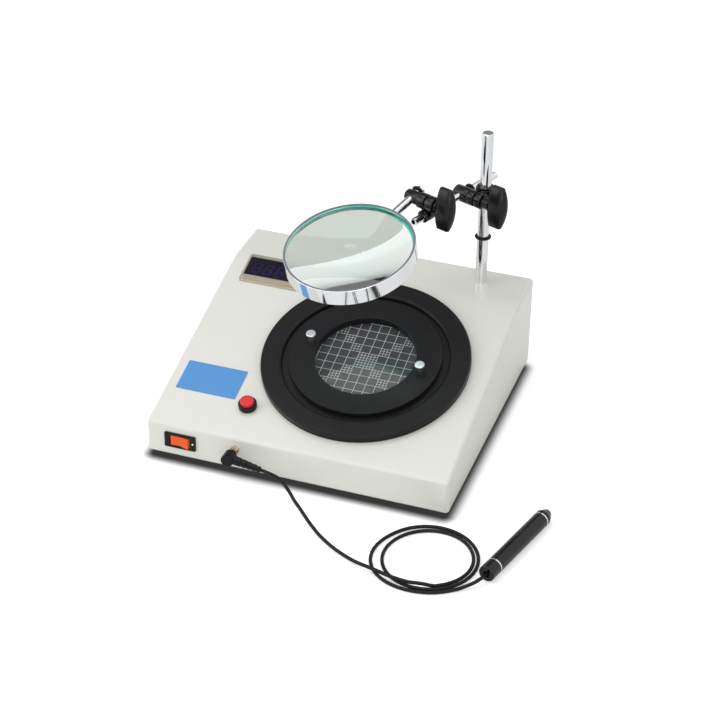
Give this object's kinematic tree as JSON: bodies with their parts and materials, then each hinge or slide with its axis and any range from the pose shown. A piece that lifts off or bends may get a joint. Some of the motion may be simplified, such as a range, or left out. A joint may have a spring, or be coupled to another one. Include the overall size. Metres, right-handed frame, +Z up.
{
  "type": "digital colony counter",
  "caption": "Wedge-shaped bench colony counter with a ruled glass stage, turning dish ring, display, switch, counting pen on a lead, and a magnifier on a clamped swivel arm.",
  "frame": {"origin": "middle of the footprint of casing and arm, on the floor under the rubber feet", "axes": "+X to the right along the casing's width, +Y to the rear, +Z up"},
  "size_m": [0.4041, 0.426, 0.276],
  "materials": {
    "casing_paint": "off-white semi-gloss paint on sheet steel",
    "base_paint": "dark grey paint on sheet steel",
    "zinc_steel": "zinc-plated steel",
    "black_rubber": "black moulded rubber",
    "label_film": "plain blue film on a thin plate",
    "black_anodised": "black satin anodised aluminium",
    "ruled_glass": "ground glass with white ruled lines",
    "reflector_white": "white moulded plastic",
    "lamp_glass": "white coated glass tube",
    "spring_steel": "plain spring steel",
    "chrome_plate": "bright chrome plate on steel",
    "bezel_metal": "champagne anodised aluminium",
    "window_tint": "dark violet tinted acrylic",
    "digit_plastic": "dark display plastic with pale segments",
    "board_green": "green circuit board",
    "core_steel": "varnished laminated steel",
    "switch_black": "black moulded plastic",
    "rocker_orange": "translucent orange plastic",
    "button_red": "red moulded plastic",
    "jack_metal": "dull nickelled brass",
    "clamp_black": "brownish black blued steel",
    "knob_black": "black moulded thermoset",
    "lens_glass": "clear polished optical glass",
    "plug_black": "black moulded plastic",
    "lead_sheath": "dark grey flexible sheath",
    "pen_black": "polished black plastic",
    "tip_grey": "grey fibre tip"
  },
  "bodies": {
    "casing": {"top_shell": "casing_paint", "bottom_plate": "base_paint", "base_screws": "zinc_steel", "rubber_feet": "black_rubber", "foot_screws": "zinc_steel", "foot_nuts": "zinc_steel", "label_plate": "label_film", "cord_grommet": "black_rubber", "stage_flange": "black_anodised", "stage_screws": "zinc_steel", "ruled_glass": "ruled_glass", "light_well": "reflector_white", "lamp_ring": "lamp_glass", "lamp_clips": "spring_steel", "display_bezel": "bezel_metal", "display_window": "window_tint", "digit_blocks": "digit_plastic", "display_board": "board_green", "counter_board": "board_green", "transformer": "core_steel", "switch_body": "switch_black", "button_collar": "switch_black", "button_nut": "zinc_steel", "jack_socket": "jack_metal", "jack_nut": "jack_metal", "support_rod": "chrome_plate", "rod_nut": "zinc_steel", "rod_stop": "black_rubber", "jack_plug": "plug_black", "plug_sleeve": "plug_black", "probe_lead": "lead_sheath", "probe_coil": "lead_sheath", "probe_tail": "lead_sheath", "pen_rear_cap": "pen_black", "pen_barrel": "pen_black", "pen_front_cap": "pen_black", "pen_rings": "chrome_plate"},
    "dish_turntable": {"dish_ring": "black_anodised", "ring_posts": "chrome_plate"},
    "power_rocker": {"power_rocker": "rocker_orange"},
    "push_button": {"push_button": "button_red"},
    "rod_slider": {"clamp_bush": "clamp_black"},
    "rod_clamp": {"rod_jaw_inner": "clamp_black", "rod_jaw_outer": "clamp_black"},
    "cross_head": {"cross_head": "clamp_black"},
    "rod_knob": {"rod_clamp_knob": "knob_black"},
    "cross_rod": {"cross_rod": "chrome_plate", "cross_stop": "black_rubber"},
    "arm_clamp": {"arm_jaw_inner": "clamp_black", "arm_jaw_outer": "clamp_black"},
    "swivel_head": {"swivel_head": "clamp_black", "head_screw": "zinc_steel"},
    "arm_knob": {"arm_clamp_knob": "knob_black"},
    "lens": {"lens_handle": "chrome_plate", "handle_stop": "black_rubber", "lens_ring": "chrome_plate", "lens_glass": "lens_glass", "lens_retainer": "chrome_plate"},
    "pen_tip": {"pen_tip": "tip_grey"}
  },
  "joints": [
    {"name": "dish_turn", "type": "hinge", "parent": "casing", "child": "dish_turntable", "pos_m": [0.0295, -0.03014, 0.07748], "axis": [0, -0.2659, 0.964], "continuous": true},
    {"name": "switch_rock", "type": "hinge", "parent": "casing", "child": "power_rocker", "pos_m": [-0.1192, -0.15211, 0.0255], "axis": [0, 0, 1], "range_deg": [0, 16]},
    {"name": "button_press", "type": "slide", "parent": "casing", "child": "push_button", "axis": [0, 0.2659, -0.964], "range_m": [0, 0.003], "stiffness_N_per_m": 500, "springref_m": -0.001},
    {"name": "clamp_slide", "type": "slide", "parent": "casing", "child": "rod_slider", "axis": [0, 0, 1], "range_m": [-0.034, 0.05]},
    {"name": "arm_swing", "type": "hinge", "parent": "rod_slider", "child": "rod_clamp", "pos_m": [0.105, 0.11289, 0.207], "axis": [0, 0, 1], "continuous": true},
    {"name": "head_tilt", "type": "hinge", "parent": "rod_clamp", "child": "cross_head", "pos_m": [0.10016, 0.10028, 0.207], "axis": [0.9336, -0.3584, 0], "range_deg": [-45, 15]},
    {"name": "rod_knob_turn", "type": "hinge", "parent": "cross_head", "child": "rod_knob", "pos_m": [0.10016, 0.10028, 0.207], "axis": [0.9336, -0.3584, 0], "range_deg": [0, 360]},
    {"name": "cross_rod_slide", "type": "slide", "parent": "cross_head", "child": "cross_rod", "axis": [-0.3584, -0.9336, 0], "range_m": [-0.018, 0.002]},
    {"name": "arm_roll", "type": "hinge", "parent": "cross_rod", "child": "arm_clamp", "pos_m": [0.08336, 0.10673, 0.207], "axis": [0.3584, 0.9336, 0], "range_deg": [-40, 40]},
    {"name": "lens_lift", "type": "hinge", "parent": "arm_clamp", "child": "swivel_head", "pos_m": [0.06311, 0.05399, 0.2195], "axis": [-0.9336, 0.3584, 0], "range_deg": [-20, 50]},
    {"name": "arm_knob_turn", "type": "hinge", "parent": "swivel_head", "child": "arm_knob", "pos_m": [0.06311, 0.05399, 0.2195], "axis": [0.9336, -0.3584, 0], "range_deg": [0, 360]},
    {"name": "lens_twist", "type": "hinge", "parent": "swivel_head", "child": "lens", "pos_m": [0.04537, 0.0608, 0.2195], "axis": [-0.3477, -0.9058, -0.2419], "range_deg": [-30, 30]},
    {"name": "pen_tip_press", "type": "slide", "parent": "casing", "child": "pen_tip", "axis": [-0.2588, -0.9659, 0], "range_m": [0, 0.0015], "stiffness_N_per_m": 400, "springref_m": -0.001}
  ]
}
